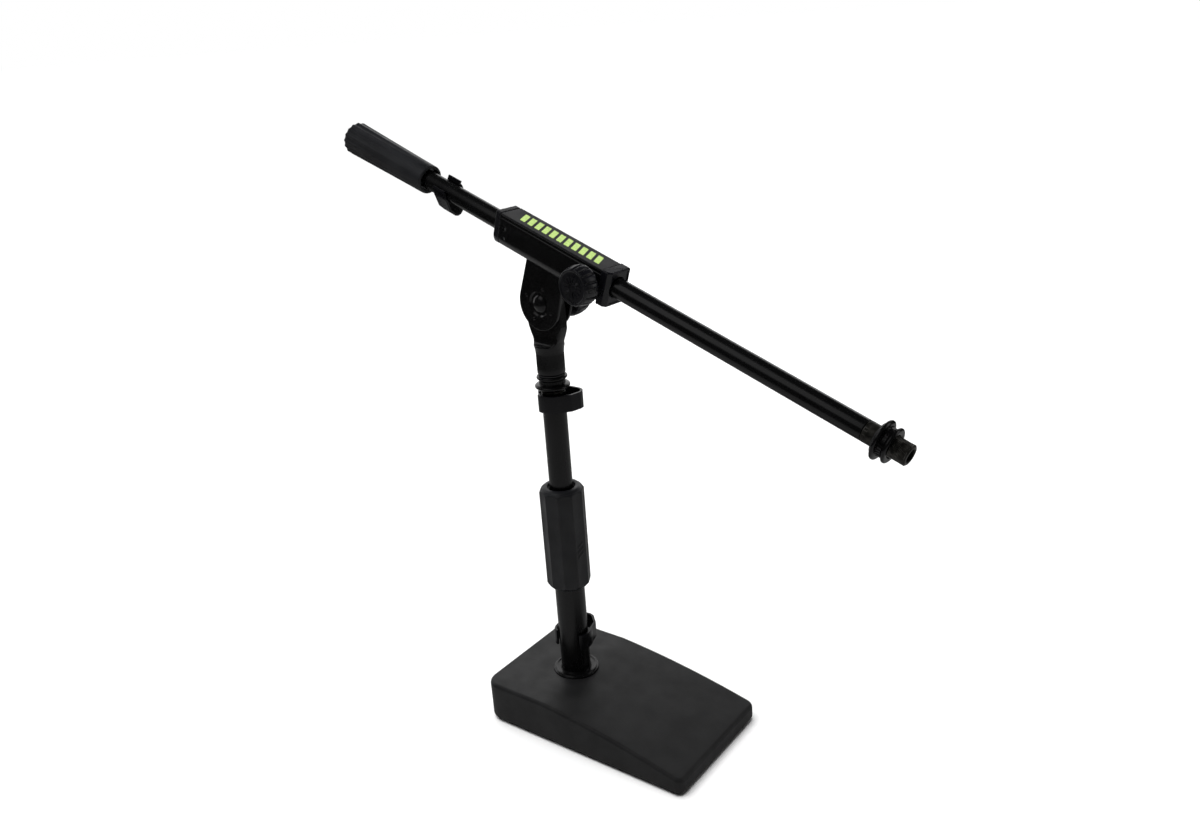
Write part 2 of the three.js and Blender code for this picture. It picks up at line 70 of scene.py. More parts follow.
COLUMN = Matrix.Identity(4)
HEAD = set_axes(PIVOT, ALONG, ALONG.cross(ACROSS))
NECK = set_axes(PIVOT, ACROSS.cross(UP), UP)
BOOM_RISE = (HEAD.inverted() @ Vector(JOINTS["boom_roll"]["pos_m"])).z / MM
BOOM_AXIS = set_axes(HEAD @ Vector((0, 0, BOOM_RISE * MM)), -HEAD.col[2].to_3d(), ALONG)
clamp = HEAD.inverted() @ Vector(JOINTS["clamp_knob_turn"]["pos_m"])
CLAMP_X, CLAMP_Z = clamp.x / MM, clamp.z / MM
CLAMP_AXIS = set_axes(HEAD @ Vector((clamp.x, 0, clamp.z)), ALONG, -ACROSS)
PIVOT_AXIS = set_axes(PIVOT, ALONG, ACROSS)

# Sizes in millimetres.
BASE = {"back": -60, "front": 154, "half": 63.5, "top": 39.2, "flat_to": 10, "pad": 2, "skin": 9}
BASE_CORNER = {"back": 15, "front": 7}
BASE_RIM = {"top": 3.2, "foot": 2.4}
BASE_FALL = {"slope": 0.078, "curve": 0.00058}
PAD_MARGIN, PAD_CORNER = 3, {"back": 10, "front": 4}
POCKET = {"rim": 12.5, "spine_half": 16.5, "toe": 8, "corner": 5, "edge": 2}
COLLAR_SEAT = {"radius": 21.15, "from": 37.4}
BASE_BOLT = {"hole": 5.4, "recess": 12, "recess_to": 12}
LOWER_TUBE = {"radius": 13.5, "wall": 1.6, "from": 20.3, "to": 196}
UPPER_TUBE = {"radius": 10.3, "wall": 1.4, "from": 134, "to": 314.2}
BOOM_TUBE = {"radius": 7.95, "wall": 1.2, "from": -232, "to": 294}
STUD = {"radius": 7.9, "pitch": 0.941, "depth": 0.5, "turned_every": 0.16}
COLUMN_THREAD = {"from": 315.8, "to": 341}
BOOM_THREAD = {"from": 305.2, "to": 327.4}
CRIMPS = {"from": 295.1, "to": 297.6, "count": 10, "depth": 0.32, "share": 0.32}
NUT = {"bore": 8.25, "waist": 11.1, "small": 13.1, "grooves": 30, "depth": 0.5}
GRIP = {"radius": 20, "from": 128.5, "to": 226.2, "facets": 10, "hollow": 1.35, "first_ridge": 10}
GRIP_MARK = {"height": 168, "degrees": -8, "ribs": (-5, 0, 5), "half": 1.1, "reach": 3.2, "lean": 0.45,
             "proud": 0.5}
NECK_SIZES = {"foot": 330.6, "half_depth": 14.0, "tongue_half": 4.4, "crown": 20.2, "scoop": 7.6,
              "scoop_top": 362.8, "bore": 8.25, "bore_to": 344}
HOUSING = {"from": -52.4, "to": 59.7, "half": 11.2, "low": 31.7, "high": 55.6, "chamfer": 3, "cover": 59.5,
           "cover_from": 57.5}
EAR = {"radius": 22.4, "top": 20.6, "inner": 5.6, "outer": 8.2}
BOSS = {"radius": 8.6, "face": 15.1}
BOLT_HOLE = 4.3
EAR_STUDS = {"circle": 14.4, "first": -8}
PIN_X, PIN_DROPS = -46.6, {"cap_pin_upper": 1.2, "cap_pin_lower": -7}
STRIPES = {"count": 11, "first": -38.5, "spacing": 8.2, "width": 5.4, "lean": 2.6, "half": 6, "sunk": 0.02,
           "proud": 0.06}
WEIGHT = {"from": -258.3, "to": -152.7, "far": 14.8, "near": 12.6, "flutes": 16, "flute": 0.8}
CLIP = {"width": 15, "wall": 2.2}
CLIP_HEADINGS = {"lower": 97, "mid": 37.4, "boom": 23}

# Studio: places and lengths in metres, angles in degrees.
CAMERA = {"at": (0.5524, -0.659, 0.6185), "heading": 127.441, "dip": 21.155, "roll": -3.943}
LENS_MM, SENSOR_MM = 32.27, 36
# Rows of name, radius, height, whiteness, and whether only gloss sees it.
FLOORS = [("floor", 30, -0.0004, 0.93, False), ("table", 1.0, -0.0003, 0.22, True)]
MIDDLE = (0.05, 0, 0.3)
CEILING = {"strength": 3.5, "spread": 50, "turn": (6, -8)}
# Rows of name, place, size and brightness.
SOFTBOXES = [
    ("left_softbox", (-1.35, -0.1, 0.8), (0.4, 1.4), 1.0),
    ("right_softbox", (1.3, 0.75, 0.7), (0.4, 1.4), 0.9),
    ("top_softbox", (-0.3, -0.8, 1.4), (0.9, 1.1), 0.55),
    ("back_softbox", (-1.0, 1.5, 0.9), (3.4, 1.3), 1.05),
]
STUDIO_GLOW = 0.025


# ---------------------------------------------------------------- mesh tools

def soften(corners, closed=True, steps=4):
    """Points of an outline whose corners (a, b, reach) are rounded over that reach along both edges."""
    points = []
    last = len(corners) - 1
    for i, corner in enumerate(corners):
        here = Vector(corner[:2])
        if len(corner) < 3 or (not closed and i in (0, last)):
            points.append(here)
            continue
        before = Vector(corners[i - 1][:2]) - here
        after = Vector(corners[(i + 1) % len(corners)][:2]) - here
        start = here + before.normalized() * min(corner[2], 0.45 * before.length)
        end = here + after.normalized() * min(corner[2], 0.45 * after.length)
        for k in range(steps + 1):
            t = k / steps
            points.append(start * (1 - t) ** 2 + here * 2 * t * (1 - t) + end * t * t)
    return points


def refine(points, step, closed=True):
    """The same line with extra points, so that none of its stretches is longer than step."""
    finer = []
    for i, a in enumerate(points):
        finer.append(a)
        if i == len(points) - 1 and not closed:
            break
        b = points[(i + 1) % len(points)]
        count = int((b - a).length / step)
        finer += [a.lerp(b, k / (count + 1)) for k in range(1, count + 1)]
    return finer


def inset(outline, distance):
    """Outline of a counterclockwise loop moved inwards by distance."""
    moved = []
    for i, here in enumerate(outline):
        edge = outline[(i + 1) % len(outline)] - outline[i - 1]
        normal = Vector((-edge.y, edge.x)).normalized()
        moved.append(here + normal * distance)
    return moved


def loft(name, rings, wrap=False):
    """Closed mesh through rings of points; its ends are capped, or joined to each other with wrap."""
    size, count = len(rings[0]), len(rings)
    faces = []
    for i in range(count if wrap else count - 1):
        a, b = i * size, (i + 1) % count * size
        faces += [(a + k, a + (k + 1) % size, b + (k + 1) % size, b + k) for k in range(size)]
    if not wrap:
        faces += [tuple(range(size - 1, -1, -1)), tuple(range((count - 1) * size, count * size))]
    mesh = bpy.data.meshes.new(name)
    mesh.from_pydata([point for ring in rings for point in ring], [], faces)
    clean = bmesh.new()
    clean.from_mesh(mesh)
    bmesh.ops.remove_doubles(clean, verts=clean.verts, dist=1e-5)
    bmesh.ops.recalc_face_normals(clean, faces=clean.faces)
    clean.to_mesh(mesh)
    clean.free()
    piece = bpy.data.objects.new(name, mesh)
    bpy.context.scene.collection.objects.link(piece)
    return piece


def turned(name, corners, hollow=True, segments=SEGMENTS, shape=None, step=None):
    """Solid of revolution about Z from corners (radius, height, reach); shape may change the radius."""
    profile = soften(corners, closed=hollow)
    if step:
        profile = refine(profile, step, closed=hollow)
    rings = []
    for radius, height in profile:
        ring = []
        for k in range(segments):
            angle = 2 * math.pi * k / segments
            r = shape(angle, radius, height) if shape else radius
            ring.append((r * math.cos(angle), r * math.sin(angle), height))
        rings.append(ring)
    return loft(name, rings, wrap=hollow)


def slab(name, outline, low, high, edge=0.5, steps=3):
    """Extrusion of a counterclockwise outline along Z with rounded edges."""
    rings = []
    for k in range(steps + 1):
        turn = 0.5 * math.pi * k / steps
        rings.append((edge * (1 - math.sin(turn)), low + edge * (1 - math.cos(turn))))
    rings += [(margin, low + high - height) for margin, height in reversed(rings)]
    return loft(name, [[(*p, z) for p in inset(outline, margin)] for margin, z in rings])


def lay(piece, matrix):
    """Turns the mesh itself, while it is still in millimetres."""
    piece.data.transform(matrix)
    return piece


def combine(piece, tools, operation="DIFFERENCE"):
    """Cuts the tools out of the piece, or joins them to it, and removes them."""
    for tool in tools:
        modifier = piece.modifiers.new(operation, "BOOLEAN")
        modifier.operation = operation
        modifier.solver = "EXACT"
        modifier.object = tool
    evaluated = piece.evaluated_get(bpy.context.evaluated_depsgraph_get())
    mesh = bpy.data.meshes.new_from_object(evaluated)
    piece.modifiers.clear()
    piece.data = mesh
    for tool in tools:
        bpy.data.objects.remove(tool)
    return piece


def rod(radius, low, high, lip=0.0, segments=64):
    """Round cutter or boss; a lip widens both its ends, which leaves a chamfer round the hole."""
    corners = [(radius + lip, low), (radius, low + lip), (radius, high - lip), (radius + lip, high)]
    return turned("rod", corners if lip else [corners[0], corners[3]], hollow=False, segments=segments)


ALONG_X = Matrix.Rotation(math.pi / 2, 4, "Y")
ALONG_Y = Matrix.Rotation(-math.pi / 2, 4, "X")
# An outline drawn in X,Z stands up and its thickness lies along Y, towards the near side.
STAND_UP = Matrix.Rotation(math.pi / 2, 4, "X")


def place(piece, node, slot, matrix, sharp=34, look=None):
    """Scales the mesh to metres, sets the piece in its frame and lets it stand for the CAD node."""
    piece.name = f"{node}_look"
    piece.data.name = piece.name
    piece.data.transform(Matrix.Scale(MM, 4))
    piece.data.shade_smooth()
    piece.data.set_sharp_from_angle(angle=math.radians(sharp))
    weighted = piece.modifiers.new("weighted normals", "WEIGHTED_NORMAL")
    weighted.keep_sharp = True
    weighted.weight = 80
    piece.data.materials.clear()
    piece.data.materials.append(MATERIALS[look or slot])
    piece.matrix_world = matrix
    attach(piece, BODY_OF[node])
    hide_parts(node)
    return piece


# ---------------------------------------------------------------- materials

def start_material(name, metallic=0.0, specular=0.5):
    material = bpy.data.materials.new(name)
    material.use_nodes = True
    shader = material.node_tree.nodes["Principled BSDF"]
    shader.inputs["Metallic"].default_value = metallic
    shader.inputs["Specular IOR Level"].default_value = specular
    return material, material.node_tree, shader


def noise(tree, scale, detail=3.0, stretch=(1, 1, 1)):
    """Noise in the piece's own space, scale in features per metre."""
    coordinates = tree.nodes.new("ShaderNodeTexCoord")
    mapping = tree.nodes.new("ShaderNodeMapping")
    mapping.inputs["Scale"].default_value = stretch
    texture = tree.nodes.new("ShaderNodeTexNoise")
    texture.inputs["Scale"].default_value = scale
    texture.inputs["Detail"].default_value = detail
    tree.links.new(coordinates.outputs["Object"], mapping.inputs["Vector"])
    tree.links.new(mapping.outputs["Vector"], texture.inputs["Vector"])
    return texture.outputs["Fac"]


def spread(tree, value, low, high, low_from=0.35, high_from=0.65):
    """Value stretched from its usual range to low..high."""
    node = tree.nodes.new("ShaderNodeMapRange")
    node.inputs["From Min"].default_value = low_from
    node.inputs["From Max"].default_value = high_from
    node.inputs["To Min"].default_value = low
    node.inputs["To Max"].default_value = high
    tree.links.new(value, node.inputs["Value"])
    return node.outputs["Result"]


def blend_colours(tree, factor, a, b):
    """Colour between a and b, each a colour or a socket."""
    node = tree.nodes.new("ShaderNodeMix")
    node.data_type = "RGBA"
    tree.links.new(factor, node.inputs["Factor"])
    for socket, colour in ((node.inputs["A"], a), (node.inputs["B"], b)):
        if isinstance(colour, bpy.types.NodeSocket):
            tree.links.new(colour, socket)
        else:
            socket.default_value = (*colour, 1)
    return node.outputs["Result"]


def bump(tree, height, distance, strength=1.0, under=None):
    """Bump of a height from 0 to 1 that stands for distance in millimetres."""
    node = tree.nodes.new("ShaderNodeBump")
    node.inputs["Distance"].default_value = distance * MM
    node.inputs["Strength"].default_value = strength
    tree.links.new(height, node.inputs["Height"])
    if under:
        tree.links.new(under, node.inputs["Normal"])
    return node.outputs["Normal"]


def edge_wear_and_sheen(tree, tone, wear_and_sheen_tone, low=0.545, high=0.62):
    """Tone with a lighter colour on the sharpest convex edges, broken up by noise: edge wear, and on the satin
    metal a painted highlight along its rounded rims.
    """
    geometry = tree.nodes.new("ShaderNodeNewGeometry")
    edge = spread(tree, geometry.outputs["Pointiness"], 0, 1, low, high)
    patches = spread(tree, noise(tree, 260, 4), 0, 0.8, 0.42, 0.62)
    product = tree.nodes.new("ShaderNodeMath")
    product.operation = "MULTIPLY"
    tree.links.new(edge, product.inputs[0])
    tree.links.new(patches, product.inputs[1])
    return blend_colours(tree, product.outputs[0], tone, wear_and_sheen_tone)


def coating(name, tones, rough, grain, peel=None, wear_and_sheen_tone=None, stretch=(1, 1, 1), specular=0.5):
    """Painted, moulded or rubber surface: mottled tone, patchy roughness, fine grain, optional peel and an
    optional lighter edge colour that is edge wear and, on the satin metal, painted highlight.

    Grain and peel are each (features per metre, height in millimetres).
    """
    material, tree, shader = start_material(name, specular=specular)
    tone = blend_colours(tree, spread(tree, noise(tree, 45, 5), 0, 1), *tones)
    if wear_and_sheen_tone:
        tone = edge_wear_and_sheen(tree, tone, wear_and_sheen_tone)
    tree.links.new(tone, shader.inputs["Base Color"])
    smudges = noise(tree, 70, 6, stretch)
    tree.links.new(spread(tree, smudges, *rough), shader.inputs["Roughness"])
    normal = None
    if peel:
        normal = bump(tree, noise(tree, peel[0], 2, stretch), peel[1])
    grain_height = noise(tree, grain[0], 3)
    tree.links.new(bump(tree, grain_height, grain[1], under=normal), shader.inputs["Normal"])
    return material


def metal(name, tones, rough, brushed=4000):
    """Bare or plated metal with turning marks round the part's axis."""
    material, tree, shader = start_material(name, metallic=1.0)
    tone = blend_colours(tree, spread(tree, noise(tree, 120, 5), 0, 1), *tones)
    tree.links.new(tone, shader.inputs["Base Color"])
    tree.links.new(spread(tree, noise(tree, 180, 5), *rough), shader.inputs["Roughness"])
    lines = noise(tree, brushed, 2, (0.04, 0.04, 1))
    tree.links.new(bump(tree, lines, 0.01), shader.inputs["Normal"])
    return material


def make_materials():
    """One material for each slot of the record, and a glossier plastic for the cable clips."""
    return {
        "cast_iron_black": coating(
            "cast_iron_black", tones=[(0.0075, 0.0075, 0.0078), (0.0115, 0.0115, 0.0118)], rough=(0.42, 0.52),
            grain=(1900, 0.035), peel=(420, 0.05), wear_and_sheen_tone=(0.02, 0.02, 0.021), specular=0.38),
        "pad_rubber": coating(
            "pad_rubber", tones=[(0.006, 0.006, 0.006), (0.012, 0.012, 0.012)], rough=(0.8, 0.95),
            grain=(1500, 0.06)),
        "grip_rubber": coating(
            "grip_rubber", tones=[(0.0072, 0.0075, 0.0088), (0.0115, 0.012, 0.0138)], rough=(0.38, 0.5),
            grain=(2600, 0.02), wear_and_sheen_tone=(0.022, 0.022, 0.025), specular=0.45),
        "gloss_black_tube": coating(
            "gloss_black_tube", tones=[(0.0014, 0.0014, 0.0015), (0.0024, 0.0024, 0.0026)], rough=(0.2, 0.28),
            grain=(1500, 0.003), peel=(260, 0.007), stretch=(1, 1, 0.15), specular=0.45),
        # The lighter edge colour of the satin metal is a painted highlight on its sharpest rounded edges, such as
        # the rims of the ears.
        "satin_black_metal": coating(
            "satin_black_metal", tones=[(0.0014, 0.0014, 0.0015), (0.0026, 0.0026, 0.0028)],
            rough=(0.17, 0.24), grain=(1700, 0.004), peel=(300, 0.003), wear_and_sheen_tone=(0.007, 0.007, 0.0073),
            specular=0.45),
        "cover_black": coating(
            "cover_black", tones=[(0.008, 0.008, 0.009), (0.0115, 0.0115, 0.0125)], rough=(0.4, 0.5),
            grain=(2100, 0.025), wear_and_sheen_tone=(0.035, 0.035, 0.036), specular=0.42),
        "black_plastic": coating(
            "black_plastic", tones=[(0.0032, 0.0032, 0.0044), (0.0058, 0.0058, 0.0078)], rough=(0.24, 0.32),
            grain=(2300, 0.008), wear_and_sheen_tone=(0.04, 0.04, 0.043)),
        "clip_plastic": coating(
            "clip_plastic", tones=[(0.0016, 0.0016, 0.0022), (0.0028, 0.0028, 0.0038)], rough=(0.15, 0.22),
            grain=(2300, 0.006), wear_and_sheen_tone=(0.02, 0.02, 0.022), specular=0.32),
        "black_nylon": coating(
            "black_nylon", tones=[(0.012, 0.012, 0.013), (0.02, 0.02, 0.021)], rough=(0.5, 0.62),
            grain=(1800, 0.02)),
        "zinc_steel": metal("zinc_steel", tones=[(0.42, 0.43, 0.45), (0.56, 0.56, 0.57)], rough=(0.28, 0.42)),
        "brass": metal("brass", tones=[(0.55, 0.38, 0.13), (0.68, 0.5, 0.22)], rough=(0.25, 0.4)),
        "stud_steel": stud_steel(),
    }


def stud_steel():
    """Blackened steel that is brighter where it is worn."""
    material, tree, shader = start_material("stud_steel", metallic=0.85)
    dark, light, wear_and_sheen_tone = (0.018, 0.017, 0.015), (0.045, 0.043, 0.038), (0.3, 0.29, 0.27)
    tone = blend_colours(tree, spread(tree, noise(tree, 300, 5), 0, 1), dark, light)
    tree.links.new(edge_wear_and_sheen(tree, tone, wear_and_sheen_tone, 0.5, 0.56), shader.inputs["Base Color"])
    tree.links.new(spread(tree, noise(tree, 400, 4), 0.32, 0.5), shader.inputs["Roughness"])
    tree.links.new(bump(tree, noise(tree, 2600, 3), 0.012), shader.inputs["Normal"])
    return material


def print_ink():
    """Pale lime ink, thin in places."""
    material, tree, shader = start_material("print_ink", specular=0.4)
    full, thin = (0.56, 0.76, 0.24), (0.44, 0.62, 0.18)
    patches = spread(tree, noise(tree, 420, 5), 0, 1, 0.4, 0.62)
    tone = blend_colours(tree, patches, full, thin)
    tree.links.new(tone, shader.inputs["Base Color"])
    tree.links.new(spread(tree, noise(tree, 900, 3), 0.45, 0.6), shader.inputs["Roughness"])
    tree.links.new(bump(tree, noise(tree, 2400, 2), 0.015), shader.inputs["Normal"])
    return material


# ---------------------------------------------------------------- base

def top_height(x):
    """Height of the casting above the floor: level round the column, then a long falling curve."""
    run = max(0.0, x - BASE["flat_to"])
    return BASE["top"] - BASE_FALL["slope"] * run - BASE_FALL["curve"] * run * run


def rounded_plan(x0, x1, y0, y1, low, high, step=8.0):
    """Rounded rectangle, counterclockwise, with its own corner radius at the low-X and high-X ends."""
    points = []
    corners = [(x0 + low, y0 + low, low, 180), (x1 - high, y0 + high, high, 270),
               (x1 - high, y1 - high, high, 0), (x0 + low, y1 - low, low, 90)]
    for x, y, radius, start in corners:
        for k in range(13):
            angle = math.radians(start + 90 * k / 12)
            points.append(Vector((x + radius * math.cos(angle), y + radius * math.sin(angle))))
    return refine(points, step)


def wedge(name, plan, low, drop, edge, foot):
    """Solid on a plan whose top follows the casting's curve, lowered by drop, with rounded rims.

    The rings of the top close in on its middle, so that its faces stay small enough to follow the curve.
    """
    quarter = [0.5 * math.pi * k / 6 for k in range(7)]
    rings = []
    for turn in quarter:
        loop = inset(plan, foot * (1 - math.sin(turn)))
        rings.append([(x, y, low + foot * (1 - math.cos(turn))) for x, y in loop])
    for turn in quarter:
        loop = inset(plan, edge * (1 - math.cos(turn)))
        rings.append([(x, y, top_height(x) - drop - edge * (1 - math.sin(turn))) for x, y in loop])
    loop = inset(plan, edge)
    middle = sum(loop, Vector((0, 0))) / len(loop)
    for k in range(1, 16):
        shrunk = [middle.lerp(p, 1 - k / 15.5) for p in loop]
        rings.append([(x, y, top_height(x) - drop) for x, y in shrunk])
    return loft(name, rings)


def pocket_plan(side):
    """Plan of the hollow on one side of the casting's middle spine."""
    rim, corner = POCKET["rim"], POCKET["corner"]
    y0, y1 = POCKET["spine_half"], BASE["half"] - rim
    if side < 0:
        y0, y1 = -y1, -y0
    return rounded_plan(BASE["back"] + rim, BASE["front"] - rim - POCKET["toe"], y0, y1, corner, corner)


def make_base_casting():
    back, front, half = BASE["back"], BASE["front"], BASE["half"]
    below, above = -5, 60
    plan = rounded_plan(back, front, -half, half, BASE_CORNER["back"], BASE_CORNER["front"], step=4)
    casting = wedge("casting", plan, BASE["pad"] + 0.3, 0, BASE_RIM["top"], BASE_RIM["foot"])
    pockets = [wedge("pocket", pocket_plan(side), below, BASE["skin"], POCKET["edge"], 0) for side in (-1, 1)]
    bores = [
        rod(COLLAR_SEAT["radius"], COLLAR_SEAT["from"], above),
        rod(LOWER_TUBE["radius"] + 0.3, LOWER_TUBE["from"] - 0.3, above),
        rod(BASE_BOLT["hole"], 5, 30),
        rod(BASE_BOLT["recess"], below, BASE_BOLT["recess_to"]),
    ]
    place(combine(casting, pockets + bores), "base_casting", "cast_iron_black", COLUMN, sharp=50)


def make_base_pad():
    back, front, half = BASE["back"] + PAD_MARGIN, BASE["front"] - PAD_MARGIN, BASE["half"] - PAD_MARGIN
    plan = rounded_plan(back, front, -half, half, PAD_CORNER["back"], PAD_CORNER["front"])
    pad = slab("pad", plan, 0, BASE["pad"], 0.5)
    windows = [slab("window", pocket_plan(side), -2, 2 * BASE["pad"], 0.1) for side in (-1, 1)]
    place(combine(pad, windows), "base_pad", "pad_rubber", COLUMN)


def make_base_collar():
    """Stepped ring that sits in a seat in the casting round the foot of the tube."""
    place(turned("collar", [
        (13.8, 37.7, 0.2), (20.9, 37.7, 0.2), (20.9, 40.1, 0.6), (20.1, 40.2, 0.3), (19.6, 40.4, 0.3),
        (19.1, 41.1, 0.5), (18.3, 41.1, 0.4), (17.6, 40.5, 0.4), (14.6, 40.4, 0.3), (14.3, 41.4, 0.2),
        (13.8, 41.4, 0.2),
    ]), "base_collar", "satin_black_metal", COLUMN)


# ---------------------------------------------------------------- tubes and threads

def tube_wall(tube, lip=0.35, step=20):
    """Outline of a tube's wall: rounded ends, and points along it so that its faces stay well shaped."""
    outer, inner = tube["radius"], tube["radius"] - tube["wall"]
    low, high = tube["from"], tube["to"]
    count = int((high - low) / step)
    steps = [(outer, low + (high - low) * k / count) for k in range(1, count)]
    return [(inner, low, lip), (outer, low, lip), *steps, (outer, high, lip), (inner, high, lip)]


def make_tubes():
    tubes = [("lower_tube", LOWER_TUBE, COLUMN), ("upper_tube", UPPER_TUBE, COLUMN),
             ("boom_tube", BOOM_TUBE, BOOM_AXIS)]
    for node, tube, matrix in tubes:
        place(turned("tube", tube_wall(tube), segments=128), node, "gloss_black_tube", matrix)


def thread(low, high):
    """Helical 60 degree thread between two heights, fading out at both, as a shape for turned()."""
    def shape(angle, radius, height):
        if radius < STUD["radius"] - 0.01 or not low < height < high:
            return radius
        phase = (height / STUD["pitch"] - angle / (2 * math.pi)) % 1
        groove = 1 - abs(2 * phase - 1)
        fade = min(1, (height - low) / STUD["pitch"], (high - height) / STUD["pitch"])
        return radius - STUD["depth"] * min(1, 1.25 * groove) * fade
    return shape


def make_column_stud():
    low, high = COLUMN_THREAD["from"], COLUMN_THREAD["to"]
    plug, rim, radius = 8.6, UPPER_TUBE["radius"], STUD["radius"]
    stud = turned("stud", [
        (0.3, 288), (plug, 288, 0.5), (plug, 314.5, 0.2), (rim, 314.5, 0.3), (rim, low, 0.3),
        (radius, low), (radius, high), (radius - 1, high + 1), (0.3, high + 1),
    ], hollow=False, shape=thread(low, high), step=STUD["turned_every"], segments=72)
    place(stud, "mast_top_stud", "stud_steel", COLUMN, sharp=60)


def crimped(shape):
    """The same shape with short crimp marks round its smooth rim."""
    def marked(angle, radius, height):
        turned_radius = shape(angle, radius, height)
        if radius < BOOM_TUBE["radius"] - 0.05 or not CRIMPS["from"] < height < CRIMPS["to"]:
            return turned_radius
        across = abs((angle * CRIMPS["count"] / (2 * math.pi)) % 1 - 0.5) * 2
        return turned_radius - (CRIMPS["depth"] if across < CRIMPS["share"] else 0)
    return marked


def make_boom_stud():
    low, high = BOOM_THREAD["from"], BOOM_THREAD["to"]
    bore, plug, neck, radius, rim = 4.8, 6.45, 7.2, STUD["radius"], BOOM_TUBE["radius"]
    stud = turned("stud", [
        (bore, 268, 0.3), (plug, 268, 0.4), (plug, 294.3), (rim - 0.35, 294.3, 0.2), (rim, 294.75, 0.3),
        (rim, 303.2, 0.5), (neck, 303.2, 0.2), (neck, 304.6), (radius, low), (radius, high),
        (radius - 1, 328.4, 0.3), (bore + 0.5, 328.4, 0.2), (bore, 327.8, 0.2),
    ], shape=crimped(thread(low, high)), step=STUD["turned_every"], segments=120)
    place(stud, "boom_end_stud", "stud_steel", BOOM_AXIS, sharp=60)


# ---------------------------------------------------------------- lock nuts and washers

def knurl(angle, radius, height):
    """Grooves along the waist of a lock nut."""
    waist = NUT["waist"]
    if not waist - 0.4 < radius < waist + 0.5:
        return radius
    return radius - NUT["depth"] * (math.cos(NUT["grooves"] * angle) > 0.35)


def lock_nut(low, large):
    """Two rounded flanges with a knurled waist between them."""
    bore, waist, small = NUT["bore"], NUT["waist"], NUT["small"]
    return turned("nut", [
        (bore, low, 0.2), (large - 1.5, low, 0.9), (large, low + 0.9, 0.7), (large, low + 2.5, 0.7),
        (large - 1.5, low + 3.4, 0.9), (waist + 0.6, low + 3.7, 0.3), (waist, low + 4.2, 0.2),
        (waist, low + 6.9, 0.2), (waist + 0.4, low + 7.4, 0.3), (small - 1.1, low + 7.9, 0.7),
        (small, low + 8.8, 0.6), (small, low + 10.2, 0.6), (small - 1.1, low + 11, 0.7),
        (9.3, low + 11, 0.5), (bore, low + 10.2, 0.3),
    ], shape=knurl, step=0.6, segments=240)


def make_lock_nuts():
    place(lock_nut(low=318, large=15), "column_lock_nut", "satin_black_metal", COLUMN)
    place(lock_nut(low=BOOM_THREAD["from"], large=14.8), "boom_lock_nut", "satin_black_metal", BOOM_AXIS)


# Rows of node, slot, axis, bore and outer radius, where it starts and ends, and rounding.
WASHERS = [
    ("column_nut_washer", "black_nylon", COLUMN, (8.4, 11.5), (329.3, 330.3), 0.25),
    ("boom_nut_washer", "black_nylon", BOOM_AXIS, (8.4, 11.5), (303.9, 304.9), 0.25),
    ("friction_washer_near", "black_nylon", PIVOT_AXIS, (4.4, 17), (-5.3, -4.7), 0.15),
    ("friction_washer_far", "black_nylon", PIVOT_AXIS, (4.4, 17), (4.7, 5.3), 0.15),
    ("pivot_spring_washer", "zinc_steel", PIVOT_AXIS, (4.4, 7.5), (8.5, 10), 0.25),
    ("pivot_thrust_washer", "zinc_steel", PIVOT_AXIS, (4.4, 9), (10.3, 11.6), 0.25),
]


def make_washers():
    for node, slot, matrix, (inner, outer), (low, high), lip in WASHERS:
        section = [(inner, low, lip), (outer, low, lip), (outer, high, lip), (inner, high, lip)]
        place(turned("washer", section), node, slot, matrix)


# ---------------------------------------------------------------- clutch grip

def raised_mark(angle, height):
    """Height of three short slanted ribs on one facet of the grip."""
    turn = angle - math.radians(GRIP_MARK["degrees"])
    across = ((turn + math.pi) % (2 * math.pi) - math.pi) * GRIP["radius"]
    if abs(across) > GRIP_MARK["reach"]:
        return 0
    for rib in GRIP_MARK["ribs"]:
        if abs(height - GRIP_MARK["height"] - rib - GRIP_MARK["lean"] * across) < GRIP_MARK["half"]:
            return GRIP_MARK["proud"]
    return 0


def grip_shape(angle, radius, height):
    """Slightly hollow facets between ridges; the cone at each end cuts their ends into arches."""
    if radius < 15.5:
        return radius
    turns = GRIP["facets"] * (angle - math.radians(GRIP["first_ridge"])) / (2 * math.pi)
    across = abs(turns % 1 - 0.5) * 2
    facets = GRIP["radius"] - GRIP["hollow"] * (1 - across ** 2)
    return min(radius, facets + raised_mark(angle, height))


def make_clutch_grip():
    """Sleeve round the clutch's inner parts, open below for the lower tube and above for the upper one."""
    low, high, radius = GRIP["from"], GRIP["to"], GRIP["radius"]
    low_bore, high_bore, inside = 14.6, 12.5, 18.3
    grip = turned("grip", [
        (low_bore, low, 0.4), (16.6, low, 1.2), (radius + 0.2, low + 4.2), (radius + 0.2, high - 4.4),
        (16, high, 1.4), (high_bore, high, 0.6), (high_bore, high - 2.1), (inside, high - 2.1),
        (inside, low + 3.1), (low_bore, low + 1.9),
    ], shape=grip_shape, step=0.8, segments=256)
    place(grip, "clutch_grip", "grip_rubber", COLUMN, sharp=60)


# ---------------------------------------------------------------- neck

def softest(*limits, sharpness=14):
    """Smallest of the limits, blended where two of them are close."""
    return sum(limit ** -sharpness for limit in limits) ** (-1 / sharpness)


def follow(points, height):
    """Value at a height on straight stretches between (height, value) points."""
    for (z0, v0), (z1, v1) in zip(points, points[1:]):
        if height <= z1:
            t = max(0.0, (height - z0) / (z1 - z0))
            return v0 + (v1 - v0) * t
    return points[-1][1]


